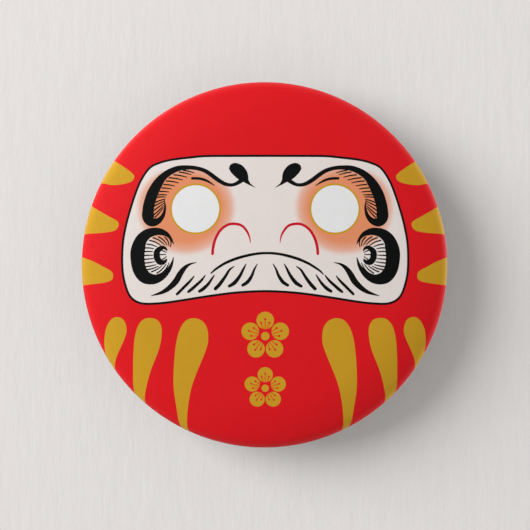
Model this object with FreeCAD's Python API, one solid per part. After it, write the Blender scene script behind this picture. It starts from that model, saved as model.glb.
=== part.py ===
"""Round pin-back button badge with a printed daruma face, 57.15 mm across (the 2 1/4 inch badge).

A domed tinplate shell carries a printed paper disc under a clear film. All three are hemmed round the
rim and tucked inside, where the lip of a dished back plate holds them. A stamped bar pin is riveted to
the back plate: its needle swings on a hinge rivet, and a slotted roller in the bar's curled end locks it.

Frame, in millimetres: the origin is the centre of the flat land on the rear hem, where the badge meets
the cloth. The printed face looks along -Y, +Z is up as worn, and the pin is on the +Y side.
"""
import FreeCAD, Part
import math
import os

# ---- driving dimensions ----
BADGE_DIAMETER = 57.15
DOME_RADIUS = 170.0          # shallow dome of the face
DOME_EDGE = 21.0             # distance from the axis at which the dome gives way to the shoulder
SHOULDER_RADIUS = 22.0
RIM_RADIUS = 2.7
WALL_HEIGHT = 0.3            # straight side between rim and hem
HEM_RADIUS = 0.7             # outer radius of each of the hem's two quarter turns
HEM_LAND = 0.5               # flat between the turns, which lies on the cloth
TUCK_LENGTH = 1.0            # how far the layers run back inside

FILM_THICKNESS = 0.075
PAPER_THICKNESS = 0.12
TINPLATE_THICKNESS = 0.25
LAYER_GAP = 0.01             # air between layers
CRIMP_GAP = 0.05             # between the back plate's rim and the tucked layers

PLATE_THICKNESS = 0.3
PLATE_RECESS = 0.6           # back plate's outer ring below the hem's land
DISH_DEPTH = 0.9             # centre panel below that ring
DISH_RADIUS = 21.0           # outer end of the flat centre panel
DISH_ANGLE = 45.0
DISH_BEND = 0.5              # inner radius of the dish's bends
FLANGE_BEND = 0.6            # outer radius where the ring turns into the flange
LIP_BEND = 0.15
LIP_LENGTH = 0.4

PIN_HEIGHT = 6.0             # the bar pin sits this far above the badge's centre
BAR_LEFT, BAR_RIGHT = -16.6, 16.0
BAR_WIDTH = 5.0
BAR_THICKNESS = 0.6
BAR_CORNER = 1.4

WIRE_RADIUS = 0.4
EYE_RADIUS = 0.9             # centre line of the loop that makes the needle's eye
EYE_TURN = 264.0             # how far the loop goes round
EYE_NECK_RADIUS = 0.9        # centre line of the bend that brings the loop into line with the shaft
HINGE_X = -14.0
HINGE_RISE = 2.2             # hinge axis and needle above the bar's top
TAPER_START, TIP_X = 10.8, 16.4
TIP_RADIUS = 0.06

EAR_GAP = 1.1
EAR_THICKNESS = 0.5
EAR_WIDTH = 2.6
EAR_TOP_RADIUS = 1.2
HINGE_RIVET_RADIUS = 0.45
HINGE_HEAD_RADIUS = 0.8
HINGE_HEAD_HEIGHT = 0.3

CATCH_LEFT, CATCH_RIGHT = 12.4, 15.4
CATCH_OUTER, CATCH_INNER = 2.3, 1.7
CATCH_MOUTH = 1.4            # width of the opening that the needle passes through
NECK_WIDTH = 2.4
ROLLER_CLEARANCE = 0.05
ROLLER_SLOT = 1.1
FLANGE_RADIUS, FLANGE_WIDTH = 2.0, 0.35
TAB_ANGLE = 70.0             # thumb tab, from the slot's direction
TAB_WIDTH = 1.4
TAB_REACH = 3.3
TAB_THICKNESS = 0.75

RIVET_X = (-5.5, 5.5)
RIVET_SHANK = 0.8
RIVET_HEAD_RADIUS = 1.4
RIVET_HEAD_HEIGHT = 0.45
RIVET_CLEARANCE = 0.02

# ---- places worked out from them ----
BADGE_RADIUS = BADGE_DIAMETER / 2
STACK = FILM_THICKNESS + PAPER_THICKNESS + TINPLATE_THICKNESS + 2 * LAYER_GAP
DOME_TURN = math.asin(DOME_EDGE / DOME_RADIUS)
SHOULDER_TURN = math.asin(
    (BADGE_RADIUS - RIM_RADIUS - (DOME_RADIUS - SHOULDER_RADIUS) * math.sin(DOME_TURN))
    / (SHOULDER_RADIUS - RIM_RADIUS)
)
FACE_DEPTH = (
    HEM_RADIUS + WALL_HEIGHT + RIM_RADIUS * math.cos(SHOULDER_TURN)
    + SHOULDER_RADIUS * (math.cos(DOME_TURN) - math.cos(SHOULDER_TURN))
    + DOME_RADIUS * (1 - math.cos(DOME_TURN))
)
TUCK_RADIUS = BADGE_RADIUS - 2 * HEM_RADIUS - HEM_LAND
TUCK_END = -HEM_RADIUS - TUCK_LENGTH
PANEL_Y = -PLATE_RECESS - DISH_DEPTH
BAR_TOP = PANEL_Y + BAR_THICKNESS
NEEDLE_Y = BAR_TOP + HINGE_RISE

V = FreeCAD.Vector
X_AXIS, Y_AXIS, Z_AXIS = V(1, 0, 0), V(0, 1, 0), V(0, 0, 1)


# ---- sheet metal turned about the badge's axis ----
def section_edges(start, moves, offset):
    """The section of a sheet in the XY plane, from start along +X. Each move is (length, 0) for a straight
    run or (radius, turn) for a bend, positive to the left. offset shifts the whole line to the left."""
    x, y = start
    heading = 0.0

    def shifted(px, py, angle):
        return V(px - offset * math.sin(angle), py + offset * math.cos(angle), 0)

    edges = []
    for size, turn in moves:
        first = shifted(x, y, heading)
        if turn == 0:
            x += size * math.cos(heading)
            y += size * math.sin(heading)
            edges.append(Part.makeLine(first, shifted(x, y, heading)))
            continue
        side = math.copysign(size, turn)
        cx, cy = x - side * math.sin(heading), y + side * math.cos(heading)

        def on_bend(angle):
            return cx + side * math.sin(angle), cy - side * math.cos(angle)

        middle = heading + turn / 2
        heading += turn
        halfway = shifted(*on_bend(middle), middle)
        x, y = on_bend(heading)
        edges.append(Part.Arc(first, halfway, shifted(x, y, heading)).toShape())
    return edges


def turned_sheet(start, moves, near, far):
    """A closed sheet between two offsets of one section, turned about the Y axis."""
    one = section_edges(start, moves, near)
    other = section_edges(start, moves, far)
    ends = [
        Part.makeLine(one[-1].lastVertex().Point, other[-1].lastVertex().Point),
        Part.makeLine(other[0].firstVertex().Point, one[0].firstVertex().Point),
    ]
    wire = Part.Wire(Part.sortEdges(one + other + ends)[0])
    return Part.Face(wire).revolve(V(0, 0, 0), Y_AXIS, 360)


def face_layer(depth, thickness):
    """One layer of the domed face, from depth below the outer surface, hemmed at the back."""
    quarter = math.pi / 2
    moves = [
        (DOME_RADIUS, DOME_TURN),
        (SHOULDER_RADIUS, SHOULDER_TURN - DOME_TURN),
        (RIM_RADIUS, quarter - SHOULDER_TURN),
        (WALL_HEIGHT, 0),
        (HEM_RADIUS, quarter),
        (HEM_LAND, 0),
        (HEM_RADIUS, quarter),
        (TUCK_LENGTH, 0),
    ]
    return turned_sheet((0, -FACE_DEPTH), moves, depth, depth + thickness)


def back_plate():
    """Dished plate whose flange presses outwards on the tucked layers, with a lip under their ends."""
    quarter = math.pi / 2
    slope = math.radians(DISH_ANGLE)
    outer_bend = DISH_BEND + PLATE_THICKNESS
    rise = DISH_DEPTH - (DISH_BEND + outer_bend) * (1 - math.cos(slope))
    flange_radius = TUCK_RADIUS - CRIMP_GAP
    dish_end = DISH_RADIUS + (DISH_BEND + outer_bend) * math.sin(slope) + rise / math.tan(slope)
    lip_y = TUCK_END - CRIMP_GAP
    moves = [
        (DISH_RADIUS, 0),
        (DISH_BEND, slope),
        (rise / math.sin(slope), 0),
        (outer_bend, -slope),
        (flange_radius - FLANGE_BEND - dish_end, 0),
        (FLANGE_BEND, -quarter),
        (-PLATE_RECESS - FLANGE_BEND - (lip_y + LIP_BEND), 0),
        (LIP_BEND, quarter),
        (LIP_LENGTH, 0),
    ]
    plate = turned_sheet((0, PANEL_Y), moves, 0, -PLATE_THICKNESS)
    for x in RIVET_X:
        plate = plate.cut(across_plate(x, RIVET_SHANK + RIVET_CLEARANCE))
    return plate


def across_plate(x, radius, low=PANEL_Y - 2, high=BAR_TOP + 2):
    """A cylinder along Y on the bar's centre line."""
    return Part.makeCylinder(radius, high - low, V(x, low, PIN_HEIGHT), Y_AXIS)


# ---- the bar pin ----
def hinge_cylinder(radius, half_length):
    """A cylinder along Z on the hinge axis, centred on the needle."""
    return Part.makeCylinder(
        radius, 2 * half_length, V(HINGE_X, NEEDLE_Y, PIN_HEIGHT - half_length), Z_AXIS
    )


def needle_cylinder(radius, left, right):
    """A cylinder along X on the closed needle's own axis."""
    return Part.makeCylinder(radius, right - left, V(left, NEEDLE_Y, PIN_HEIGHT), X_AXIS)


def box(low, high):
    return Part.makeBox(*(b - a for a, b in zip(low, high)), V(*low))


def bar_strip():
    strip = box(
        (BAR_LEFT, PANEL_Y, PIN_HEIGHT - BAR_WIDTH / 2),
        (BAR_RIGHT, BAR_TOP, PIN_HEIGHT + BAR_WIDTH / 2),
    )
    corners = [e for e in strip.Edges if abs(e.tangentAt(e.FirstParameter).y) > 0.99]
    return strip.makeFillet(BAR_CORNER, corners)


def hinge_ear(inner_z):
    """One ear of the hinge: straight sides under a round top, standing on the bar."""
    low = V(HINGE_X - EAR_WIDTH / 2, PANEL_Y, inner_z)
    left_shoulder = V(HINGE_X - EAR_TOP_RADIUS, NEEDLE_Y, inner_z)
    right_shoulder = V(HINGE_X + EAR_TOP_RADIUS, NEEDLE_Y, inner_z)
    top = V(HINGE_X, NEEDLE_Y + EAR_TOP_RADIUS, inner_z)
    right = V(HINGE_X + EAR_WIDTH / 2, PANEL_Y, inner_z)
    outline = Part.Wire([
        Part.makeLine(low, left_shoulder),
        Part.Arc(left_shoulder, top, right_shoulder).toShape(),
        Part.makeLine(right_shoulder, right),
        Part.makeLine(right, low),
    ])
    return Part.Face(outline).extrude(V(0, 0, EAR_THICKNESS))


def catch_housing():
    """The bar's curled end: a tube open towards the back, on a short neck."""
    neck = box(
        (CATCH_LEFT, PANEL_Y, PIN_HEIGHT - NECK_WIDTH / 2),
        (CATCH_RIGHT, NEEDLE_Y - CATCH_INNER, PIN_HEIGHT + NECK_WIDTH / 2),
    )
    tube = needle_cylinder(CATCH_OUTER, CATCH_LEFT, CATCH_RIGHT).fuse(neck)
    tube = tube.cut(needle_cylinder(CATCH_INNER, CATCH_LEFT - 1, CATCH_RIGHT + 1))
    mouth = box(
        (CATCH_LEFT - 1, NEEDLE_Y, PIN_HEIGHT - CATCH_MOUTH / 2),
        (CATCH_RIGHT + 1, NEEDLE_Y + 2 * CATCH_OUTER, PIN_HEIGHT + CATCH_MOUTH / 2),
    )
    return tube.cut(mouth)


def pin_bar():
    bar = bar_strip()
    for inner_z in (PIN_HEIGHT - EAR_GAP / 2 - EAR_THICKNESS, PIN_HEIGHT + EAR_GAP / 2):
        bar = bar.fuse(hinge_ear(inner_z))
    bar = bar.fuse(catch_housing())
    bar = bar.cut(hinge_cylinder(HINGE_RIVET_RADIUS + LAYER_GAP, EAR_WIDTH))
    for x in RIVET_X:
        bar = bar.cut(across_plate(x, RIVET_SHANK + RIVET_CLEARANCE))
    return bar.removeSplitter()


def domed_head(radius, height, foot, direction):
    """A rivet's domed head: a spherical cap on foot, along direction."""
    sphere_radius = (radius**2 + height**2) / (2 * height)
    ball = Part.makeSphere(sphere_radius, foot - direction * (sphere_radius - height))
    return ball.common(Part.makeCylinder(radius, height, foot, direction))


def bar_rivets():
    """The two rivets that hold the bar to the back plate, set flat on the hidden side."""
    rivets = []
    plate_front = PANEL_Y - PLATE_THICKNESS
    for x in RIVET_X:
        shank = across_plate(x, RIVET_SHANK, plate_front, BAR_TOP)
        head = domed_head(RIVET_HEAD_RADIUS, RIVET_HEAD_HEIGHT, V(x, BAR_TOP, PIN_HEIGHT), Y_AXIS)
        set_end = across_plate(x, RIVET_HEAD_RADIUS, plate_front - RIVET_HEAD_HEIGHT, plate_front)
        rivets.append(shank.fuse(head).fuse(set_end).removeSplitter())
    return Part.makeCompound(rivets)


def hinge_rivet():
    half = EAR_GAP / 2 + EAR_THICKNESS
    rivet = hinge_cylinder(HINGE_RIVET_RADIUS, half)
    for side in (-1, 1):
        foot = V(HINGE_X, NEEDLE_Y, PIN_HEIGHT + side * half)
        rivet = rivet.fuse(domed_head(HINGE_HEAD_RADIUS, HINGE_HEAD_HEIGHT, foot, Z_AXIS * side))
    return rivet.removeSplitter()


def wire_bend(start, direction, centre, turn):
    """A bend of the needle's wire from start, round a line along Z through centre."""
    section = Part.Wire(Part.makeCircle(WIRE_RADIUS, start, direction))
    return Part.Face(section).revolve(centre, Z_AXIS, turn)


def pin_needle():
    """Steel wire, looped round the hinge rivet at one end and ground to a point at the other. A short neck
    bends the opposite way to the loop, so that the shaft points at the middle of the rivet."""
    hinge = V(HINGE_X, NEEDLE_Y, PIN_HEIGHT)
    centre_distance = EYE_RADIUS + EYE_NECK_RADIUS
    shaft_start = math.sqrt(centre_distance**2 - EYE_NECK_RADIUS**2)
    neck_centre = hinge + V(shaft_start, -EYE_NECK_RADIUS, 0)
    neck_turn = math.acos(EYE_NECK_RADIUS / centre_distance)
    meeting = hinge + (neck_centre - hinge) * (EYE_RADIUS / centre_distance)
    along_meeting = V(EYE_NECK_RADIUS, shaft_start, 0)
    neck = wire_bend(hinge + V(shaft_start, 0, 0), X_AXIS, neck_centre, math.degrees(neck_turn))
    eye = wire_bend(meeting, along_meeting, hinge, -EYE_TURN)
    shaft = needle_cylinder(WIRE_RADIUS, HINGE_X + shaft_start, TAPER_START)
    point = Part.makeCone(
        WIRE_RADIUS, TIP_RADIUS, TIP_X - TAPER_START, V(TAPER_START, NEEDLE_Y, PIN_HEIGHT), X_AXIS
    )
    return shaft.fuse(point).fuse(neck).fuse(eye).removeSplitter()


def catch_roller():
    """Slotted roller in the curled end. With the slot at the mouth the needle is free; turned, it is locked."""
    left = CATCH_LEFT - ROLLER_CLEARANCE
    right = CATCH_RIGHT + ROLLER_CLEARANCE
    roller = needle_cylinder(CATCH_INNER - ROLLER_CLEARANCE, left, right)
    roller = roller.fuse(needle_cylinder(FLANGE_RADIUS, left - FLANGE_WIDTH, left))
    roller = roller.fuse(needle_cylinder(FLANGE_RADIUS, right, right + FLANGE_WIDTH))
    centre = V(left - TAB_THICKNESS, NEEDLE_Y, PIN_HEIGHT)
    tab = Part.makeBox(TAB_THICKNESS, TAB_REACH - TAB_WIDTH / 2, TAB_WIDTH, centre - V(0, 0, TAB_WIDTH / 2))
    tab = tab.fuse(Part.makeCylinder(
        TAB_WIDTH / 2, TAB_THICKNESS, centre + V(0, TAB_REACH - TAB_WIDTH / 2, 0), X_AXIS
    ))
    tab.rotate(centre, X_AXIS, TAB_ANGLE)
    roller = roller.fuse(tab)
    slot = box(
        (left - TAB_THICKNESS - 1, NEEDLE_Y, PIN_HEIGHT - ROLLER_SLOT / 2),
        (right + FLANGE_WIDTH + 1, NEEDLE_Y + 2 * TAB_REACH, PIN_HEIGHT + ROLLER_SLOT / 2),
    )
    slot = slot.fuse(needle_cylinder(
        ROLLER_SLOT / 2, left - TAB_THICKNESS - 1, right + FLANGE_WIDTH + 1
    ))
    return roller.cut(slot).removeSplitter()


def main():
    paper_depth = FILM_THICKNESS + LAYER_GAP
    shell_depth = STACK - TINPLATE_THICKNESS
    nodes = {
        "film_cover": face_layer(0, FILM_THICKNESS),
        "printed_disc": face_layer(paper_depth, PAPER_THICKNESS),
        "front_shell": face_layer(shell_depth, TINPLATE_THICKNESS),
        "back_plate": back_plate(),
        "pin_bar": pin_bar(),
        "bar_rivets": bar_rivets(),
        "hinge_rivet": hinge_rivet(),
        "pin_needle": pin_needle(),
        "catch_roller": catch_roller(),
    }
    os.makedirs("parts", exist_ok=True)
    for name, shape in nodes.items():
        shape.exportStep(f"parts/{name}.step")
        size = shape.BoundBox
        print(f"{name}: valid {shape.isValid()}, {len(shape.Solids)} solid(s), {shape.Volume:.3f} mm3, "
              f"Y {size.YMin:.2f} to {size.YMax:.2f}")
    print(f"needle and hinge at Y {NEEDLE_Y:.3f}, face depth {FACE_DEPTH:.3f}")


main()
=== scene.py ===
# The looks of a round pin-back button badge with a printed daruma face. The face looks along -Y, +Z is up,
# and the bar pin is behind it on the +Y side. Lengths below are millimetres, and MM turns them into the
# frame's metres where a mesh, a bump, a lamp or the camera is made. Angles are radians where no note says.

import math

import bpy
import numpy as np
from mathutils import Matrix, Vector
from mathutils.geometry import delaunay_2d_cdt
from mathutils.kdtree import KDTree


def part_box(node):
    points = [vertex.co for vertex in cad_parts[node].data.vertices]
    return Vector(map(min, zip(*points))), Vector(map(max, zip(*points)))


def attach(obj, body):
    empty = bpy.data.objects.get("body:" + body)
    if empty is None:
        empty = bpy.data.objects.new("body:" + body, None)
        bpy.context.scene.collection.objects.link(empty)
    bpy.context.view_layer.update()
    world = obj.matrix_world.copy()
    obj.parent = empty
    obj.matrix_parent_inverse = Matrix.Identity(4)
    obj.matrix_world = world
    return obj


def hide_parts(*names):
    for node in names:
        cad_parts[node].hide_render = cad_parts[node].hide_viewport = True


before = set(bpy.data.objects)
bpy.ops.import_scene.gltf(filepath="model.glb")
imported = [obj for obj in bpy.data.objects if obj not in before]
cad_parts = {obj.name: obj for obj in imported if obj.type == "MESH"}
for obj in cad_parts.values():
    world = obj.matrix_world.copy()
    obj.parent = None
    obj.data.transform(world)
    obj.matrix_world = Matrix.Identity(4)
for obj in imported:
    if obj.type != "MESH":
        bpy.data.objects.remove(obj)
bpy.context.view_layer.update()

MM = 0.001
QUARTER = math.pi / 2

# ---- the face's section, as the CAD has it ----
DOME_RADIUS = 170.0
DOME_EDGE = 21.0
SHOULDER_RADIUS = 22.0
RIM_RADIUS = 2.7
WALL_HEIGHT = 0.3
HEM_RADIUS = 0.7
HEM_LAND = 0.5
TUCK_LENGTH = 1.0
LOWEST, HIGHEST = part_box("film_cover")
BADGE_RADIUS = (HIGHEST.x - LOWEST.x) / 2 / MM
FACE_DEPTH = -LOWEST.y / MM
DOME_TURN = math.asin(DOME_EDGE / DOME_RADIUS)
SHOULDER_TURN = math.asin(
    (BADGE_RADIUS - RIM_RADIUS - (DOME_RADIUS - SHOULDER_RADIUS) * math.sin(DOME_TURN))
    / (SHOULDER_RADIUS - RIM_RADIUS)
)
RUNS = [                      # (radius, turn) for a bend and (length, 0) for a straight run
    (DOME_RADIUS, DOME_TURN),
    (SHOULDER_RADIUS, SHOULDER_TURN - DOME_TURN),
    (RIM_RADIUS, QUARTER - SHOULDER_TURN),
    (WALL_HEIGHT, 0.0),
    (HEM_RADIUS, QUARTER),
    (HEM_LAND, 0.0),
    (HEM_RADIUS, QUARTER),
    (TUCK_LENGTH, 0.0),
]
OPEN_RUNS = 2                 # the first runs, dome and shoulder, are nearly flat

FILM_DEPTHS = (0.0, 0.05)     # how far below the outer surface each layer's two sides lie
INK_DEPTHS = (0.07, 0.2)

RING_TURN = math.radians(5)   # largest turn between two rings of points on a bend
RING_STEP = 1.0               # largest distance between two rings, and along an outline's edge
RING_POINTS = 300             # points on each ring round the rim and the hem
GOLDEN_TURN = 2.4             # each ring of loose points is turned this far from the last
LEAST_SPACING = 0.25          # loose points keep this far from the outlines
JOIN_DISTANCE = 1e-5          # points of the flat disc nearer than this become one

# ---- the print ----
ART_SHIFT = (0.12, 0.07)      # the print's middle, to the right of and above the badge's
ART_SCALE = (0.9866, 0.9856)  # across and up, from the artwork as drawn to the print
LINE_WIDTH = 0.36             # black line round the face panel
INK_SPREAD = 0.05             # every brush stroke is printed this much wider than it is drawn
BLUNT_END = 0.25              # a brush stroke's end wider than this is round
COMB_WIDTH = 0.18             # width of a comb's lines at their roots

EYE_CENTRE = (-10.88, 8.67)   # the left eye
EYE_RADIUS = 3.7              # the white of the eye
EYE_RING = 4.0                # outer edge of the gold ring round it

BLOSSOMS = [(0.0, -11.2, 3.9), (0.0, -19.4, 3.4)]      # x, z and radius of each plum blossom
PETALS = 5
PETAL_REACH = 0.63            # from the middle to a petal's, as parts of the blossom's radius, as are these
PETAL_RADIUS = 0.35
HEART_RADIUS = 0.17
STAMEN_ROOT = 0.28
STAMEN_REACHES = (0.56, 0.68, 0.56)                    # the three stamens of one petal
STAMEN_DOT = 0.045
STAMEN_TURN = 0.3             # between two stamens
STAMEN_WIDTH = 0.06           # as drawn, in millimetres

PATCH_CENTRE = (12.2, 8.95)   # the orange airbrushed patch round each eye
PATCH_RADII = (7.1, 6.9)      # across and below; above its centre it reaches PATCH_RISE
PATCH_RISE = 6.0
PATCH_FADE = [                # distance from its centre as a part of its radii, and its strength there
    (0.78, 1.0), (0.86, 0.87), (0.93, 0.755), (1.0, 0.553), (1.05, 0.25), (1.114, 0.0),
]
PATCH_COLOUR = (0.76, 0.272, 0.13)

PAPER_COLOUR = (0.785, 0.712, 0.675)
INKS = {                      # colour, and whether the airbrushed patches show on it
    "red": ((0.7, 0.0085, 0.0135), False),
    "face": (PAPER_COLOUR, True),
    "face_plain": (PAPER_COLOUR, False),
    "gold": ((0.58, 0.315, 0.017), False),
    "white": ((0.79, 0.79, 0.79), False),
    "black": ((0.0045, 0.005, 0.005), False),
    "crimson": ((0.56, 0.005, 0.02), False),
}
INK_GLOSS = 0.08
SLIGHT = (0.985, 1.015)       # the darkest and palest factors of a slightly uneven tone

# ---- the film and the metal ----
FILM_IOR = 1.16               # fitted to the photograph's weak highlight: real polyester's is higher
FILM_ROUGHNESS = 0.45
FILM_CLOUDING = 0.04          # how far the film's roughness goes down and up
FILM_GLOSS = 0.12             # the part of its mirroring that a matt film keeps

METALS = {                    # colour, roughness, the streaks' squeeze along each axis, and the nodes
    "tinplate": ((0.62, 0.62, 0.605), 0.38, (0.2, 4.0, 4.0), ["front_shell", "back_plate"]),
    "nickel_plate": ((0.8, 0.78, 0.74), 0.2, (0.4, 6.0, 6.0),
                     ["pin_bar", "bar_rivets", "hinge_rivet", "catch_roller"]),
    "needle_steel": ((0.6, 0.6, 0.6), 0.22, (0.15, 9.0, 9.0), ["pin_needle"]),
}

# ---- the set ----
WALL_SIZE = 1400.0
WALL_PLACE = 6.4              # y, behind the bar pin, so that the shadow is as long as in the photograph
WALL_COLOUR = (0.862, 0.826, 0.806)
WALL_SHADE_RIGHT = 0.94             # painted shade: the wall's colour at the view's right edge, as a part of that at its left, darker as if less light fell there
WALL_SHADE_FOOT = 0.95              # and at its lower edge, as a part of that at its upper: painted shade too

WORLD_FRONT = 0.19            # the world's brightness as a light, in front of the badge
WORLD_SIDE = 1.5              # a little behind its edge
WORLD_BACK = 0.6              # and straight behind it
WORLD_TINT = (1.0, 0.99, 0.98)
WORLD_SEEN = (0.76, 0.73, 0.71)                        # the world's colour where the camera sees it

SUNS = [                      # tilt from the way the badge faces, side round the face, and width, all in
    ("key", 55, 158, 43, 2.5, True),                   # degrees; then strength, and whether gloss shows it
    ("fill", 0, 0, 150, 0.8, False),
    ("rim", 100, 8, 30, 1.1, False),
]
SOFTBOXES = [                 # place, size and watts of the lamps for the badge's back
    ("back_left", (-260, 330, 260), 240, 0.45),
    ("back_right", (320, 260, 40), 160, 0.25),
]

LENS = 135.0
SENSOR_WIDTH = 36.0
VIEW_WIDTH = 82.27            # what the camera takes in on the plane y = VIEW_PLACE
VIEW_PLACE = -2.7             # just in front of the rim's widest round
VIEW_SHIFT = (0.086, -0.03)   # the camera's place to the right of and above the badge's centre
NEAREST_SEEN = 10.0


# ======== the section of the face ========
def run_starts():
    """Rows of (distance along the face, radius, y, heading) where each run starts, and the whole length."""
    along, radius, y, heading = 0.0, 0.0, -FACE_DEPTH, 0.0
    rows = []
    for size, turn in RUNS:
        rows.append((along, radius, y, heading))
        if turn == 0:
            along += size
            radius += size * math.cos(heading)
            y += size * math.sin(heading)
        else:
            along += size * turn
            radius += size * (math.sin(heading + turn) - math.sin(heading))
            y += size * (math.cos(heading) - math.cos(heading + turn))
            heading += turn
    return np.array(rows), along


STARTS, FACE_LENGTH = run_starts()


def section(along):
    """Radius, y and heading of the outer surface at distances along the face from its middle."""
    run = np.clip(np.searchsorted(STARTS[:, 0], along, side="right") - 1, 0, len(RUNS) - 1)
    start, radius, y, heading = STARTS[run].T
    size, turn = np.array(RUNS)[run].T
    gone = along - start
    bent = turn > 0
    angle = np.where(bent, heading + gone / size, heading)
    outwards = np.where(bent, size * (np.sin(angle) - np.sin(heading)), gone * np.cos(heading))
    backwards = np.where(bent, size * (np.cos(heading) - np.cos(angle)), gone * np.sin(heading))
    return radius + outwards, y + backwards, angle


def wrapped(flat, depth):
    """Flat paper points bent onto the face at a depth below its outer surface, with the normals there."""
    along = np.hypot(flat[:, 0], flat[:, 1])
    across = flat / np.maximum(along, 1e-9)[:, None]
    radius, y, angle = section(along)
    radius = radius - depth * np.sin(angle)
    y = y + depth * np.cos(angle)
    points = np.column_stack((radius * across[:, 0], y, radius * across[:, 1]))
    normals = np.column_stack((np.sin(angle) * across[:, 0], -np.cos(angle), np.sin(angle) * across[:, 1]))
    return points, normals


def ring_places():
    """Distances along the face of the rings of points: those on the open runs, and those beyond them."""
    places = []
    for (size, turn), start in zip(RUNS, STARTS[:, 0]):
        length = size * turn if turn else size
        count = math.ceil(max(length / RING_STEP, turn / RING_TURN))
        places.append([start + length * (k + 1) / count for k in range(count)])
    return sum(places[:OPEN_RUNS], []), sum(places[OPEN_RUNS:], [])


def ring(radius, count, turn=0.0):
    angles = [turn + 2 * math.pi * k / count for k in range(count)]
    return [(radius * math.cos(a), radius * math.sin(a)) for a in angles]


# ======== meshes of the layers ========
def divided(outline):
    """A closed outline with its long edges cut up, so that they bend with the face."""
    finer = []
    for (x, z), (next_x, next_z) in zip(outline, outline[1:] + outline[:1]):
        parts = math.ceil(math.hypot(next_x - x, next_z - z) / RING_STEP) or 1
        finer += [(x + (next_x - x) * k / parts, z + (next_z - z) * k / parts) for k in range(parts)]
    return finer


def triangulated(outlines):
    """The flat disc as triangles whose edges keep to the outlines and to the rings round rim and hem."""
    points, edges = [], []

    def add_loop(outline):
        loop = divided(outline)
        first, count = len(points), len(loop)
        points.extend(loop)
        edges.extend((first + k, first + (k + 1) % count) for k in range(count))

    open_places, close_places = ring_places()
    for place in close_places:
        add_loop(ring(place, RING_POINTS))
    for outline in outlines:
        add_loop(outline)
    crowd = KDTree(len(points))
    for k, point in enumerate(points):
        crowd.insert((*point, 0.0), k)
    crowd.balance()
    loose = [(0.0, 0.0)]
    for k, place in enumerate(open_places):
        loose += ring(place, round(2 * math.pi * place / RING_STEP), k * GOLDEN_TURN)
    points += [p for p in loose if crowd.find((*p, 0.0))[2] > LEAST_SPACING]
    made = delaunay_2d_cdt([Vector(p) for p in points], edges, [], 0, JOIN_DISTANCE, False)
    flat = np.array([tuple(v) for v in made[0]])
    triangles = np.array([tuple(t) for t in made[2]])
    middles = flat[triangles].mean(axis=1)
    edge = FACE_LENGTH * math.cos(math.pi / RING_POINTS)
    return flat, triangles[np.hypot(*middles.T) < edge]


def inside(outline, points):
    """Numbers of the points inside a closed outline. It may cross itself, as a curled brush stroke does."""
    here = np.array(outline)
    there = np.roll(here, -1, axis=0)
    near = np.flatnonzero(((points > here.min(axis=0)) & (points < here.max(axis=0))).all(axis=1))
    x, z = points[near, 0, None], points[near, 1, None]
    side = (there[:, 0] - here[:, 0]) * (z - here[:, 1]) - (x - here[:, 0]) * (there[:, 1] - here[:, 1])
    rising = (here[:, 1] <= z) & (there[:, 1] > z) & (side > 0)
    falling = (here[:, 1] > z) & (there[:, 1] <= z) & (side < 0)
    return near[rising.sum(axis=1) != falling.sum(axis=1)]


def layer_piece(name, flat, triangles, depths, material, slot, node):
    """A closed sheet between two depths over some of the disc's triangles. It is shaded by the true normals
    of the face's section."""
    used, corners = np.unique(triangles, return_inverse=True)
    corners = corners.reshape(-1, 3)
    count = len(used)
    top, outward = wrapped(flat[used], depths[0])
    under, _ = wrapped(flat[used], depths[1])
    points = np.vstack((top, under)) * MM
    starts, ends = corners.ravel(), corners[:, (1, 2, 0)].ravel()
    border = ~np.isin(starts * count + ends, ends * count + starts)
    walls = np.column_stack((ends, starts, starts + count, ends + count))[border]
    first, second, _, fourth = (points[walls[:, k]] for k in range(4))
    wall_normals = np.cross(second - first, fourth - first)
    wall_normals /= np.linalg.norm(wall_normals, axis=1)[:, None]
    under_corners = corners[:, ::-1]
    faces = corners.tolist() + (under_corners + count).tolist() + walls.tolist()
    under_normals = -outward[under_corners.ravel()]
    normals = np.vstack((outward[corners.ravel()], under_normals, np.repeat(wall_normals, 4, axis=0)))
    mesh = bpy.data.meshes.new(name)
    mesh.from_pydata(points.tolist(), [], faces)
    mesh.normals_split_custom_set(normals.tolist())
    return add_piece(name, mesh, material, "badge", slot, node)


def add_piece(name, mesh, material, body, slot, *nodes):
    mesh.materials.append(material)
    piece = bpy.data.objects.new(name, mesh)
    bpy.context.scene.collection.objects.link(piece)
    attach(piece, body)
    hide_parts(*nodes)
    return piece


# ======== the printed artwork ========
# Places and widths are millimetres on the flat paper: x to the right and z up from the middle of the
# artwork. Only the left half is written out, apart from the moustache, and mirrored() makes the right half.

def spline(points, closed=False, steps=6):
    """A smooth Catmull-Rom curve through tuples of any length."""
    count = len(points)
    spans = count if closed else count - 1
    curve = []
    for i in range(spans):
        if closed:
            four = [points[(i + k) % count] for k in (-1, 0, 1, 2)]
        else:
            four = [points[min(max(i + k, 0), count - 1)] for k in (-1, 0, 1, 2)]
        for step in range(steps):
            t = step / steps
            weights = (
                -0.5 * t + t * t - 0.5 * t**3,
                1 - 2.5 * t * t + 1.5 * t**3,
                0.5 * t + 2 * t * t - 1.5 * t**3,
                -0.5 * t * t + 0.5 * t**3,
            )
            curve.append(tuple(sum(w * p[n] for w, p in zip(weights, four)) for n in range(len(four[0]))))
    if not closed:
        curve.append(tuple(points[-1]))
    return curve


def round_end(x, z, radius, heading):
    """Points of a half circle that ends a stroke travelling along heading."""
    turns = [math.pi * (0.5 - k / 8) for k in range(1, 8)]
    return [(x + radius * math.cos(heading + a), z + radius * math.sin(heading + a)) for a in turns]


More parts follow.
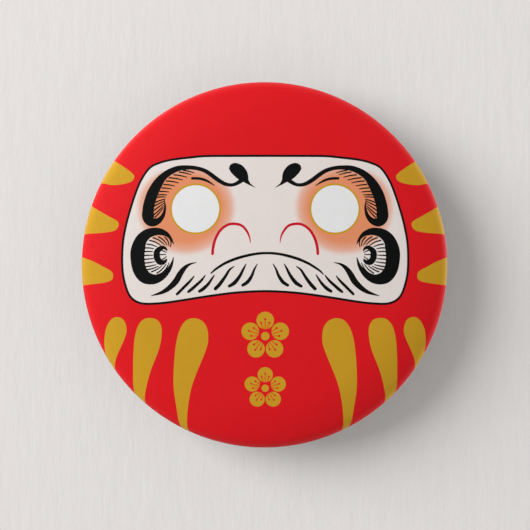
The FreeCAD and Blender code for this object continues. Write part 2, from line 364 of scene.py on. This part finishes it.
def brush(points, steps=6):
    """The outline of a brush stroke. Each point is (x, z, width); an end wider than BLUNT_END is round."""
    line = spline(points, steps=steps)
    left, right, first_cap = [], [], []
    for i, (x, z, width) in enumerate(line):
        width += INK_SPREAD
        before, after = line[max(i - 1, 0)], line[min(i + 1, len(line) - 1)]
        heading = math.atan2(after[1] - before[1], after[0] - before[0])
        across = (-math.sin(heading) * width / 2, math.cos(heading) * width / 2)
        left.append((x + across[0], z + across[1]))
        right.append((x - across[0], z - across[1]))
        if i == 0 and width > BLUNT_END:
            first_cap = round_end(x, z, width / 2, heading + math.pi)
        if i == len(line) - 1 and width > BLUNT_END:
            left += round_end(x, z, width / 2, heading)
    if first_cap:
        return left + right[::-1] + first_cap
    return left + right[::-1]


def mirrored(shape):
    return [(-x, z) for x, z in reversed(shape)]


def circle(x, z, radius, count=72):
    turns = [2 * math.pi * k / count for k in range(count)]
    return [(x + radius * math.cos(a), z + radius * math.sin(a)) for a in turns]


def comb(roots, tips, count, bends):
    """Fine tapering lines from one curve to another. Each bends to its left by a part of its length, which
    runs from the first of bends to the last."""
    spans = len(roots) - 1
    steps = 12
    root_line, tip_line = spline(roots, steps=steps), spline(tips, steps=steps)
    lines = []
    for k in range(count):
        at = round(k * spans * steps / (count - 1))
        (x0, z0), (x1, z1) = root_line[at], tip_line[at]
        bend = bends[0] + (bends[1] - bends[0]) * k / (count - 1)
        middle = ((x0 + x1) / 2 - bend * (z1 - z0), (z0 + z1) / 2 + bend * (x1 - x0))
        points = [(x0, z0, COMB_WIDTH), (*middle, 0.9 * COMB_WIDTH), (x1, z1, 0.5 * COMB_WIDTH)]
        lines.append(brush(points, steps=4))
    return lines


def face_panel():
    """The cream face: flat along its top, full in the cheeks, and rising towards the middle below."""
    left = [
        (-5.0, 16.97), (-9.4, 16.95), (-12.0, 16.72), (-14.4, 16.45), (-16.4, 16.0), (-18.1, 15.2),
        (-19.4, 13.4), (-20.3, 11.3), (-21.2, 8.5), (-21.9, 5.8), (-22.35, 3.0), (-22.4, -0.45),
        (-22.0, -2.95), (-21.1, -5.1), (-19.4, -6.1), (-16.6, -6.1), (-13.5, -5.7), (-9.0, -4.98),
        (-4.5, -4.4),
    ]
    return spline([(0.0, 16.97)] + left + [(0.0, -4.18)] + mirrored(left), closed=True, steps=5)


def widened(shape, width):
    """A closed outline moved outwards by width. The shape runs anticlockwise."""
    moved = []
    for i, (x, z) in enumerate(shape):
        before, after = shape[i - 1], shape[(i + 1) % len(shape)]
        heading = math.atan2(after[1] - before[1], after[0] - before[0])
        moved.append((x + math.sin(heading) * width, z - math.cos(heading) * width))
    return moved


BROW_LINE = [
    (-15.8, 10.2, 0.05), (-15.65, 9.1, 0.26), (-15.75, 8.3, 0.4), (-16.05, 7.5, 0.6),
    (-16.8, 6.75, 0.95), (-17.75, 6.65, 1.45), (-18.3, 7.4, 1.85), (-18.3, 8.7, 1.75),
    (-18.05, 9.9, 1.73), (-17.6, 11.2, 1.7), (-16.85, 12.6, 1.5), (-16.0, 13.7, 1.15),
    (-14.9, 14.5, 0.98), (-13.5, 15.05, 0.8), (-12.0, 15.17, 0.62), (-10.6, 15.02, 0.58),
    (-9.35, 14.6, 0.6), (-8.3, 13.9, 0.63), (-7.3, 13.15, 0.62), (-6.3, 12.58, 0.56),
    (-5.4, 12.4, 0.48), (-4.7, 12.52, 0.5), (-4.05, 12.87, 0.6), (-3.4, 13.3, 0.6),
]
BROW_SHOULDER = 11            # from this point of that line on, the paper above the brow stays plain


def brow():
    stroke = brush(BROW_LINE)
    head = spline([
        (-2.3, 12.6), (-2.6, 13.2), (-2.65, 13.8), (-2.8, 14.4), (-3.15, 15.0), (-3.65, 15.5),
        (-4.3, 15.8), (-4.9, 15.85), (-5.45, 15.55), (-5.65, 15.0), (-5.5, 14.65), (-5.2, 14.2),
        (-4.65, 13.65), (-4.15, 13.25), (-3.65, 13.0), (-3.1, 12.7), (-2.6, 12.42),
    ]) + [(-1.4, 11.9)]
    return [stroke, head]


def brow_comb():
    upper_roots = [(-12.9, 14.75), (-15.1, 13.58), (-16.25, 11.97), (-16.95, 10.5)]
    upper_tips = [(-11.06, 14.3), (-12.88, 13.19), (-14.65, 11.79), (-15.5, 10.54)]
    lower_roots = [(-17.2, 9.7), (-17.5, 8.4), (-17.3, 7.3)]
    lower_tips = [(-15.6, 10.25), (-15.8, 9.6), (-15.9, 8.9)]
    upper = comb(upper_roots, upper_tips, count=10, bends=(0.03, 0.03))
    return upper + comb(lower_roots, lower_tips, count=5, bends=(0.02, -0.03))


def cheek_curl():
    curl = brush([
        (-14.25, 3.15, 0.06), (-14.7, 3.95, 0.35), (-15.25, 4.6, 0.6), (-15.95, 4.97, 0.88),
        (-16.8, 5.15, 1.1), (-17.85, 5.0, 1.33), (-18.75, 4.55, 1.58), (-19.5, 3.65, 1.87),
        (-19.93, 2.2, 2.2), (-19.98, 0.8, 2.17), (-19.67, -0.8, 2.08), (-18.9, -1.9, 2.0),
        (-17.9, -2.3, 1.68), (-16.9, -2.25, 1.32), (-15.9, -1.7, 1.02), (-15.05, -0.8, 0.68),
        (-14.55, 0.15, 0.36), (-14.3, 1.15, 0.05),
    ])
    core = brush([
        (-15.3, 2.05, 0.06), (-15.5, 2.42, 0.32), (-15.95, 2.65, 0.52), (-16.43, 2.45, 0.72),
        (-16.88, 2.0, 0.9), (-16.95, 1.4, 0.96), (-16.8, 0.8, 0.95), (-16.44, 0.38, 0.9),
        (-16.0, 0.3, 0.7), (-15.6, 0.5, 0.47), (-15.35, 0.85, 0.13),
    ])
    inner = [
        brush([(-16.25, 2.25, 0.16), (-15.8, 2.05, 0.13), (-15.39, 1.82, 0.08)], steps=4),
        brush([(-16.6, 1.53, 0.16), (-16.0, 1.53, 0.13), (-15.45, 1.53, 0.08)], steps=4),
        brush([(-16.25, 0.65, 0.16), (-15.8, 0.92, 0.13), (-15.39, 1.24, 0.08)], steps=4),
    ]
    return [curl, core] + inner


def cheek_comb():
    roots = [(-15.0, 4.3), (-17.6, 4.2), (-18.85, 2.57), (-19.05, 0.77), (-18.5, -0.85), (-16.4, -1.6)]
    tips = [(-14.79, 2.7), (-15.7, 3.02), (-17.38, 2.44), (-17.4, 0.91), (-16.66, -0.3), (-15.0, 0.25)]
    return comb(roots, tips, count=16, bends=(0.12, -0.08))


def eyelid():
    return brush([(-11.4, 13.46, 0.36), (-10.2, 13.4, 0.36), (-9.1, 13.05, 0.32), (-7.85, 12.3, 0.05)])


def whiskers():
    return [
        brush([(-10.7, 0.3, 0.04), (-11.75, 0.02, 0.3), (-12.55, -0.55, 0.6), (-13.25, -1.45, 0.85),
               (-13.95, -2.65, 0.92), (-14.95, -3.65, 0.76), (-16.1, -4.37, 0.5), (-17.85, -4.93, 0.05)]),
        brush([(-11.05, -1.8, 0.12), (-11.75, -2.65, 0.35), (-12.65, -3.55, 0.4), (-13.4, -4.3, 0.4),
               (-13.75, -4.65, 0.36)]),
        brush([(-9.3, -1.65, 0.1), (-9.9, -2.45, 0.34), (-10.75, -3.25, 0.42), (-11.55, -3.95, 0.44),
               (-12.0, -4.3, 0.34)]),
        brush([(-7.9, -1.6, 0.1), (-8.3, -2.25, 0.28), (-8.95, -3.15, 0.42), (-9.7, -3.85, 0.5),
               (-10.25, -4.2, 0.42)]),
        brush([(-4.8, -0.3, 0.08), (-5.55, -0.85, 0.3), (-6.25, -1.95, 0.42), (-7.05, -3.05, 0.52),
               (-7.75, -3.8, 0.5)]),
        brush([(-2.95, 0.1, 0.08), (-3.35, -0.65, 0.3), (-3.95, -1.8, 0.45), (-4.75, -2.85, 0.56),
               (-5.6, -3.4, 0.42)]),
        brush([(-1.2, 0.1, 0.07), (-1.7, -0.8, 0.28), (-2.1, -1.8, 0.42), (-2.75, -2.75, 0.52),
               (-3.5, -3.25, 0.42)]),
    ]


def moustache():
    """One stroke over the mouth. It reaches a little further to the right than to the left."""
    return brush([
        (-8.5, -1.45, 0.13), (-7.9, -0.9, 0.28), (-7.05, -0.3, 0.34), (-6.1, 0.25, 0.38), (-4.5, 0.9, 0.41),
        (-2.7, 1.4, 0.39), (-1.1, 1.68, 0.36), (0.3, 1.75, 0.34), (1.7, 1.68, 0.36), (3.3, 1.38, 0.39),
        (5.1, 0.85, 0.4), (6.7, 0.15, 0.36), (7.7, -0.45, 0.33), (8.5, -1.0, 0.26), (9.1, -1.6, 0.13),
    ])


NOSE_LINE = [
    (-8.2, 1.65, 0.38), (-8.1, 2.7, 0.39), (-7.7, 4.1, 0.38), (-6.9, 5.4, 0.37), (-5.75, 6.2, 0.36),
    (-4.6, 6.3, 0.37), (-3.6, 6.0, 0.35), (-2.85, 5.15, 0.3), (-2.45, 4.25, 0.2), (-2.3, 3.35, 0.05),
]


def nose_line():
    return brush(NOSE_LINE)


def side_stripes():
    """Gold flames that come in from the rim. Their outer ends lie past the paper's edge."""
    upper = [(-30.1, 20.2), (-25.1, 17.2), (-22.2, 15.3), (-21.0, 14.4), (-20.6, 13.8), (-21.0, 13.1),
             (-22.3, 12.7), (-24.4, 12.6), (-26.7, 13.2), (-34.1, 14.7)]
    middle = [(-33.9, 12.0), (-27.9, 9.3), (-24.7, 7.6), (-23.4, 6.9), (-23.0, 6.3), (-23.4, 5.5),
              (-24.6, 5.1), (-27.9, 4.9), (-35.9, 5.0)]
    lower = [(-35.9, 2.2), (-28.6, 0.9), (-25.5, -0.4), (-24.2, -1.1), (-23.9, -1.8), (-24.2, -2.5),
             (-25.5, -2.9), (-28.6, -3.3), (-35.9, -4.2)]
    return [spline(flame) for flame in (upper, middle, lower)]


def bottom_stripes():
    """Gold club shapes that hang below the face and run out over the rim."""
    outer = [(-29.2, -25.0), (-26.2, -15.0), (-25.7, -12.3), (-25.2, -10.1), (-24.3, -8.7), (-23.3, -8.3),
             (-22.3, -8.7), (-21.8, -10.0), (-22.1, -11.6), (-24.1, -15.9), (-27.5, -25.5)]
    middle = [(-23.4, -30.0), (-21.3, -20.9), (-20.8, -14.6), (-20.5, -11.6), (-19.9, -9.6), (-19.0, -8.6),
              (-17.9, -8.4), (-16.9, -8.7), (-16.3, -9.6), (-16.2, -11.0), (-16.7, -13.5), (-18.6, -18.6),
              (-21.4, -30.5)]
    inner = [(-13.2, -34.0), (-13.9, -24.2), (-14.4, -19.0), (-14.1, -13.6), (-13.5, -10.6), (-12.5, -8.9),
             (-11.2, -8.4), (-9.9, -8.8), (-9.1, -9.9), (-8.9, -11.6), (-9.3, -13.5), (-11.6, -19.5),
             (-12.5, -26.0), (-12.4, -34.0)]
    return [spline(club) for club in (outer, middle, inner)]


def towards(x, z, reach, angle):
    return x + reach * math.cos(angle), z + reach * math.sin(angle)


def petal_angle(petal):
    return math.pi / 2 + 2 * math.pi * petal / PETALS


def blossom(x, z, radius):
    """A plum blossom: round petals round a heart, all a little apart."""
    heart = circle(x, z, HEART_RADIUS * radius, 32)
    petals = []
    for petal in range(PETALS):
        middle = towards(x, z, PETAL_REACH * radius, petal_angle(petal))
        petals.append(circle(*middle, PETAL_RADIUS * radius, 48))
    return petals + [heart]


def stamens(x, z, radius):
    """Lines of bare red in a blossom's petals: three in each, out from the heart, with a dot at the end."""
    marks = []
    for petal in range(PETALS):
        for number, reach in enumerate(STAMEN_REACHES):
            angle = petal_angle(petal) + STAMEN_TURN * (number - 1)
            root = towards(x, z, STAMEN_ROOT * radius, angle)
            end = towards(x, z, reach * radius, angle)
            marks.append(brush([(*root, STAMEN_WIDTH), (*end, STAMEN_WIDTH)], steps=2))
            marks.append(circle(*end, STAMEN_DOT * radius, 20))
    return marks


def plain_fields():
    """Parts of the face that the airbrush kept clear of: above the brow, and inside the nose's wing."""
    brow_line = [(x, z) for x, z, _ in BROW_LINE[BROW_SHOULDER:]]
    above = spline(brow_line) + [(0.0, 12.0), (0.0, 18.0), (brow_line[0][0], 18.0)]
    wing = spline([(x, z) for x, z, _ in NOSE_LINE])
    return [above, wing]


def both_sides(shapes):
    return shapes + [mirrored(shape) for shape in shapes]


def printed_places(outline):
    """An outline as it is drawn, brought to its size and place on the badge."""
    return [(x * ART_SCALE[0] + ART_SHIFT[0], z * ART_SCALE[1] + ART_SHIFT[1]) for x, z in outline]


def artwork():
    """The print's layers from the bottom up: ink, the ink it is kept to if any, and closed outlines."""
    panel = face_panel()
    strokes = brow() + brow_comb() + cheek_curl() + cheek_comb() + [eyelid()] + whiskers()
    petals = [shape for place in BLOSSOMS for shape in blossom(*place)]
    bare_lines = [shape for place in BLOSSOMS for shape in stamens(*place)]
    layers = [
        ("gold", None, both_sides(side_stripes() + bottom_stripes())),
        ("gold", None, petals),
        ("red", None, bare_lines),
        ("black", None, [widened(panel, LINE_WIDTH / 2)]),
        ("face", None, [widened(panel, -LINE_WIDTH / 2)]),
        ("face_plain", "face", both_sides(plain_fields())),
        ("gold", None, both_sides([circle(*EYE_CENTRE, EYE_RING)])),
        ("white", None, both_sides([circle(*EYE_CENTRE, EYE_RADIUS)])),
        ("black", None, both_sides(strokes) + [moustache()]),
        ("crimson", None, both_sides([nose_line()])),
    ]
    return [(ink, over, [printed_places(outline) for outline in outlines]) for ink, over, outlines in layers]


# ======== materials ========
def node(tree, kind, sockets=None, **settings):
    """A new shader node. Each socket takes a value, or the output of another node."""
    made = tree.nodes.new(kind)
    for name, value in settings.items():
        setattr(made, name, value)
    for name, value in (sockets or {}).items():
        if isinstance(value, bpy.types.NodeSocket):
            tree.links.new(value, made.inputs[name])
        else:
            made.inputs[name].default_value = value
    return made


def scaled(tree, vector, factor):
    """A place or a colour, fixed or from a node, times a factor."""
    sockets = {"Vector": vector, "Scale": factor}
    return node(tree, "ShaderNodeVectorMath", sockets, operation="SCALE").outputs["Vector"]


def new_material(name, **sockets):
    """A material with one Principled shader, and the object's own coordinates in millimetres."""
    material = bpy.data.materials.new(name)
    material.use_nodes = True
    tree = material.node_tree
    tree.nodes.clear()
    shader = node(tree, "ShaderNodeBsdfPrincipled", {k.replace("_", " "): v for k, v in sockets.items()})
    output = node(tree, "ShaderNodeOutputMaterial", {"Surface": shader.outputs[0]})
    place = scaled(tree, node(tree, "ShaderNodeTexCoord").outputs["Object"], 1 / MM)
    return material, tree, shader, output, place


def maths(tree, operation, *values):
    """The result of a Math node. Each value is a number, or the output of another node."""
    return node(tree, "ShaderNodeMath", dict(enumerate(values)), operation=operation).outputs[0]


def vector_maths(tree, operation, *values):
    return node(tree, "ShaderNodeVectorMath", dict(enumerate(values)), operation=operation).outputs["Vector"]


def stretched(tree, place, factors):
    return vector_maths(tree, "MULTIPLY", place, factors)


def noise(tree, place, scale, detail=2.0, roughness=0.5):
    sockets = {"Vector": place, "Scale": scale, "Detail": detail, "Roughness": roughness}
    return node(tree, "ShaderNodeTexNoise", sockets).outputs["Fac"]


def spread(tree, value, low, high, source=(0.3, 0.7)):
    """The value between the two source numbers, brought to run from low to high."""
    sockets = {"Value": value, "From Min": source[0], "From Max": source[1], "To Min": low, "To Max": high}
    return node(tree, "ShaderNodeMapRange", sockets).outputs["Result"]


def product(tree, one, other):
    return maths(tree, "MULTIPLY", one, other)


def mixed(tree, factor, one, other):
    """A blend of two colours. Sockets 6 and 7 of a Mix node are its colours, and output 2 is the blend."""
    made = node(tree, "ShaderNodeMix", {"Factor": factor}, data_type="RGBA")
    made.inputs[6].default_value = (*one, 1.0)
    made.inputs[7].default_value = (*other, 1.0)
    return made.outputs[2]


def bumped(tree, height, distance, strength=1.0, under=None):
    """A surface normal from a height that runs from 0 to 1, over a distance in millimetres."""
    sockets = {"Height": height, "Distance": distance * MM, "Strength": strength}
    if under is not None:
        sockets["Normal"] = under
    return node(tree, "ShaderNodeBump", sockets).outputs["Normal"]


def printed(name, colour, shaded):
    """Ink on coated paper: a slightly cloudy tone over the paper's fine grain."""
    material, tree, shader, _, place = new_material(name, Specular_IOR_Level=INK_GLOSS)
    ground = airbrushed(tree, place, colour) if shaded else colour
    clouds = noise(tree, place, scale=0.45, detail=4.0, roughness=0.6)
    grain = noise(tree, stretched(tree, place, (1.0, 1.0, 0.55)), scale=7.0, detail=3.0, roughness=0.6)
    tone = product(tree, spread(tree, clouds, *SLIGHT), spread(tree, grain, *SLIGHT))
    tree.links.new(scaled(tree, ground, tone), shader.inputs["Base Color"])
    tree.links.new(spread(tree, grain, 0.55, 0.68), shader.inputs["Roughness"])
    tree.links.new(bumped(tree, grain, distance=0.004, strength=0.6), shader.inputs["Normal"])
    return material


def airbrushed(tree, place, colour):
    """The soft orange patch round each eye, on the paper's colour. It fades fastest at its edge."""
    parts = node(tree, "ShaderNodeSeparateXYZ", {0: place}).outputs
    from_middle = maths(tree, "ABSOLUTE", maths(tree, "SUBTRACT", parts["X"], ART_SHIFT[0]))
    spot = node(tree, "ShaderNodeCombineXYZ", {"X": from_middle, "Y": parts["Z"]}).outputs[0]
    spot = vector_maths(tree, "SUBTRACT", spot, (*PATCH_CENTRE, 0.0))
    spot = node(tree, "ShaderNodeSeparateXYZ", {0: spot}).outputs
    below = product(tree, spot["Y"], -1 / PATCH_RADII[1])
    above = product(tree, spot["Y"], 1 / PATCH_RISE)
    upright = maths(tree, "MAXIMUM", below, above)
    across = product(tree, spot["X"], 1 / PATCH_RADII[0])
    spot = node(tree, "ShaderNodeCombineXYZ", {"X": across, "Y": upright}).outputs[0]
    reach = node(tree, "ShaderNodeVectorMath", {0: spot}, operation="LENGTH").outputs["Value"]
    first, last = PATCH_FADE[0][0], PATCH_FADE[-1][0]
    ramp = node(tree, "ShaderNodeValToRGB", {"Fac": spread(tree, reach, 0.0, 1.0, source=(first, last))})
    stops = ramp.color_ramp.elements
    for at, _ in PATCH_FADE[1:-1]:
        stops.new((at - first) / (last - first))
    for stop, (_, strength) in zip(stops, PATCH_FADE):
        stop.color = (strength, strength, strength, 1.0)
    return mixed(tree, ramp.outputs["Color"], colour, PATCH_COLOUR)


def clear_film():
    """Clear satin film: it mirrors a little, more at grazing angles, and shows the print behind it."""
    material, tree, shader, output, place = new_material("clear_film")
    tree.nodes.remove(shader)
    peel = noise(tree, place, scale=0.9)
    haze = noise(tree, place, scale=0.25, detail=5.0, roughness=0.65)
    normal = bumped(tree, peel, distance=0.003)
    roughness = spread(tree, haze, FILM_ROUGHNESS - FILM_CLOUDING, FILM_ROUGHNESS + FILM_CLOUDING)
    gloss = node(tree, "ShaderNodeBsdfAnisotropic", {
        "Color": (1.0, 1.0, 1.0, 1.0), "Roughness": roughness, "Normal": normal,
    })
    clear = node(tree, "ShaderNodeBsdfTransparent", {"Color": (1.0, 1.0, 1.0, 1.0)})
    fresnel = node(tree, "ShaderNodeFresnel", {"IOR": FILM_IOR, "Normal": normal}).outputs[0]
    back = node(tree, "ShaderNodeNewGeometry").outputs["Backfacing"]
    front = maths(tree, "SUBTRACT", 1.0, back)
    share = product(tree, product(tree, fresnel, front), FILM_GLOSS)
    mix = node(tree, "ShaderNodeMixShader", {0: share, 1: clear.outputs[0], 2: gloss.outputs[0]})
    tree.links.new(mix.outputs[0], output.inputs["Surface"])
    return material


def metal(name, colour, roughness, streak):
    """Bare or plated sheet: rolling streaks, a cloudy tarnish and fine scattered scratches."""
    material, tree, shader, _, place = new_material(name, Metallic=1.0)
    streaks = noise(tree, stretched(tree, place, streak), scale=1.6, detail=4.0, roughness=0.6)
    tarnish = noise(tree, place, scale=0.35, detail=4.0, roughness=0.6)
    scratches = hairlines(tree, place)
    tone = product(tree, spread(tree, tarnish, 0.9, 1.03), spread(tree, streaks, 0.95, 1.04))
    tone = product(tree, tone, spread(tree, scratches, 1.0, 1.05, source=(0.0, 1.0)))
    tree.links.new(scaled(tree, colour, tone), shader.inputs["Base Color"])
    streaky = spread(tree, streaks, roughness - 0.06, roughness + 0.07)
    rough = maths(tree, "ADD", streaky, spread(tree, tarnish, 0.08, -0.03))
    tree.links.new(rough, shader.inputs["Roughness"])
    normal = bumped(tree, streaks, distance=0.001)
    normal = bumped(tree, scratches, distance=0.001, strength=0.35, under=normal)
    tree.links.new(normal, shader.inputs["Normal"])
    return material


def hairlines(tree, place):
    """Sparse fine scratches in two directions: thin bands of long stretched noise."""
    lines = []
    for turn, scale in ((0.4, 1.1), (-0.9, 0.8)):
        turned = node(tree, "ShaderNodeMapping", {"Vector": place, "Rotation": (0.0, turn, 0.0)}).outputs[0]
        field = noise(tree, stretched(tree, turned, (0.12, 1.0, 3.5)), scale, detail=1.0)
        lines.append(spread(tree, field, 0.0, 1.0, source=(0.72, 0.735)))
    return maths(tree, "MAXIMUM", *lines)


def wall_paper():
    """Thick pale paper with an upright grain. Its colour carries painted shade: a little darker to the right
    and below, as it is in the photograph, where light falls off. It can't be seen from behind."""
    look = {"Roughness": 0.9, "Specular_IOR_Level": 0.1}
    material, tree, shader, output, place = new_material("wall_paper", **look)
    fibres = noise(tree, stretched(tree, place, (1.0, 1.0, 0.16)), scale=0.75, detail=4.0, roughness=0.62)
    grain = noise(tree, stretched(tree, place, (1.0, 1.0, 0.5)), scale=1.6, detail=3.0, roughness=0.6)
    relief = maths(tree, "ADD", fibres, product(tree, grain, 0.5))
    parts = node(tree, "ShaderNodeSeparateXYZ", {0: place}).outputs
    edges = (-VIEW_WIDTH / 2, VIEW_WIDTH / 2)
    # painted shade: the paper's colour is made darker towards the right and towards the bottom, standing in
    # for light that falls off
    shade_rightwards = spread(tree, parts["X"], 1.0, WALL_SHADE_RIGHT, source=edges)
    upwards = spread(tree, parts["Z"], WALL_SHADE_FOOT, 1.0, source=edges)
    tone = product(tree, product(tree, shade_rightwards, upwards), spread(tree, fibres, *SLIGHT))
    tree.links.new(scaled(tree, WALL_COLOUR, tone), shader.inputs["Base Color"])
    tree.links.new(bumped(tree, relief, distance=0.12, strength=0.5), shader.inputs["Normal"])
    clear = node(tree, "ShaderNodeBsdfTransparent")
    back = node(tree, "ShaderNodeNewGeometry").outputs["Backfacing"]
    mix = node(tree, "ShaderNodeMixShader", {0: back, 1: shader.outputs[0], 2: clear.outputs[0]})
    tree.links.new(mix.outputs[0], output.inputs["Surface"])
    return material


# ======== the badge's pieces ========
def build_print():
    """One thin piece for each ink. Later layers of the artwork cover earlier ones."""
    layers = artwork()
    flat, triangles = triangulated([outline for _, _, outlines in layers for outline in outlines])
    middles = flat[triangles].mean(axis=1)
    names = list(INKS)
    ink = np.full(len(triangles), names.index("red"))
    for name, over, outlines in layers:
        for outline in outlines:
            covered = inside(outline, middles)
            if over:
                covered = covered[ink[covered] == names.index(over)]
            ink[covered] = names.index(name)
    for number, (name, (colour, shaded)) in enumerate(INKS.items()):
        material = printed(f"ink_{name}", colour, shaded)
        piece = layer_piece(f"print_{name}", flat, triangles[ink == number], INK_DEPTHS, material,
                            "printed_paper", "printed_disc")
        piece.visible_diffuse = False


def build_film():
    flat, triangles = triangulated([])
    film = layer_piece("clear_film", flat, triangles, FILM_DEPTHS, clear_film(), "clear_film", "film_cover")
    film.visible_diffuse = False


def dress_metal():
    """Materials of the metal pieces, whose shapes are the CAD's."""
    for name, (colour, roughness, streak, node_names) in METALS.items():
        material = metal(name, colour, roughness, streak)
        for node_name in node_names:
            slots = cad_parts[node_name].data.materials
            slots.clear()
            slots.append(material)


# ======== the set ========
def build_wall():
    """The paper behind the badge. It catches the badge's shadow, and the world's light goes through it."""
    mesh = bpy.data.meshes.new("paper_wall")
    half = WALL_SIZE / 2 * MM
    y = WALL_PLACE * MM
    corners = [(-half, y, -half), (half, y, -half), (half, y, half), (-half, y, half)]
    mesh.from_pydata(corners, [], [(0, 1, 2, 3)])
    mesh.materials.append(wall_paper())
    wall = bpy.data.objects.new("paper_wall", mesh)
    bpy.context.scene.collection.objects.link(wall)
    wall.visible_glossy = False
    wall.visible_diffuse = False
    wall.visible_transmission = False
    wall.visible_shadow = False


def build_camera():
    camera = bpy.data.cameras.new("camera")
    camera.lens = LENS
    camera.sensor_width = SENSOR_WIDTH
    camera.clip_start = NEAREST_SEEN * MM
    distance = VIEW_WIDTH * LENS / SENSOR_WIDTH
    rig = bpy.data.objects.new("camera", camera)
    rig.location = (VIEW_SHIFT[0] * MM, (VIEW_PLACE - distance) * MM, VIEW_SHIFT[1] * MM)
    rig.rotation_euler = (QUARTER, 0, 0)
    bpy.context.scene.collection.objects.link(rig)
    bpy.context.scene.camera = rig


def add_sun(name, tilt, side, width, strength, glossy):
    """A distant lamp."""
    sun = bpy.data.lights.new(name, "SUN")
    sun.energy = strength
    sun.angle = math.radians(width)
    lamp = bpy.data.objects.new(name, sun)
    tilt, side = math.radians(tilt), math.radians(side)
    way = Vector((math.sin(tilt) * math.cos(side), -math.cos(tilt), math.sin(tilt) * math.sin(side)))
    lamp.rotation_euler = way.to_track_quat("Z", "Y").to_euler()
    lamp.visible_glossy = glossy
    bpy.context.scene.collection.objects.link(lamp)


def add_softbox(name, place, size, power):
    """A square lamp that faces the badge's centre."""
    box = bpy.data.lights.new(name, "AREA")
    box.size = size * MM
    box.energy = power
    lamp = bpy.data.objects.new(name, box)
    lamp.location = Vector(place) * MM
    lamp.rotation_euler = Vector(place).to_track_quat("Z", "Y").to_euler()
    lamp.visible_camera = False
    bpy.context.scene.collection.objects.link(lamp)


def build_world():
    """Pale where the camera sees it. As a light it is dim in front of the badge and brightest a little behind
    its edge. What the badge mirrors is another room: dark in front and below, brighter behind and above."""
    world = bpy.data.worlds.new("studio")
    world.use_nodes = True
    tree = world.node_tree
    tree.nodes.clear()
    direction = node(tree, "ShaderNodeTexCoord").outputs["Generated"]
    parts = node(tree, "ShaderNodeSeparateXYZ", {0: direction}).outputs
    rising = spread(tree, parts["Y"], WORLD_FRONT, WORLD_SIDE, source=(-0.3, 0.6))
    falling = spread(tree, parts["Y"], WORLD_SIDE, WORLD_BACK, source=(0.6, 0.95))
    upwards = spread(tree, parts["Z"], 0.8, 1.3, source=(-1.0, 1.0))
    lighting = product(tree, maths(tree, "MINIMUM", rising, falling), upwards)
    room_upwards = spread(tree, parts["Z"], 0.1, 0.85, source=(-0.5, 0.9))
    mirrored_room = product(tree, room_upwards, spread(tree, parts["Y"], 0.15, 1.0, source=(-0.3, 0.3)))
    ray = node(tree, "ShaderNodeLightPath").outputs
    choice = node(tree, "ShaderNodeMix", {0: ray["Is Glossy Ray"], 2: lighting, 3: mirrored_room})
    light = node(tree, "ShaderNodeBackground", {"Color": (*WORLD_TINT, 1.0), "Strength": choice.outputs[0]})
    seen = node(tree, "ShaderNodeBackground", {"Color": (*WORLD_SEEN, 1.0), "Strength": 1.0})
    sockets = {0: ray["Is Camera Ray"], 1: light.outputs[0], 2: seen.outputs[0]}
    mix = node(tree, "ShaderNodeMixShader", sockets)
    node(tree, "ShaderNodeOutputWorld", {"Surface": mix.outputs[0]})
    bpy.context.scene.world = world


build_print()
build_film()
dress_metal()
build_wall()
build_camera()
build_world()
for sun in SUNS:
    add_sun(*sun)
for softbox in SOFTBOXES:
    add_softbox(*softbox)
bpy.context.scene.view_settings.view_transform = "Standard"
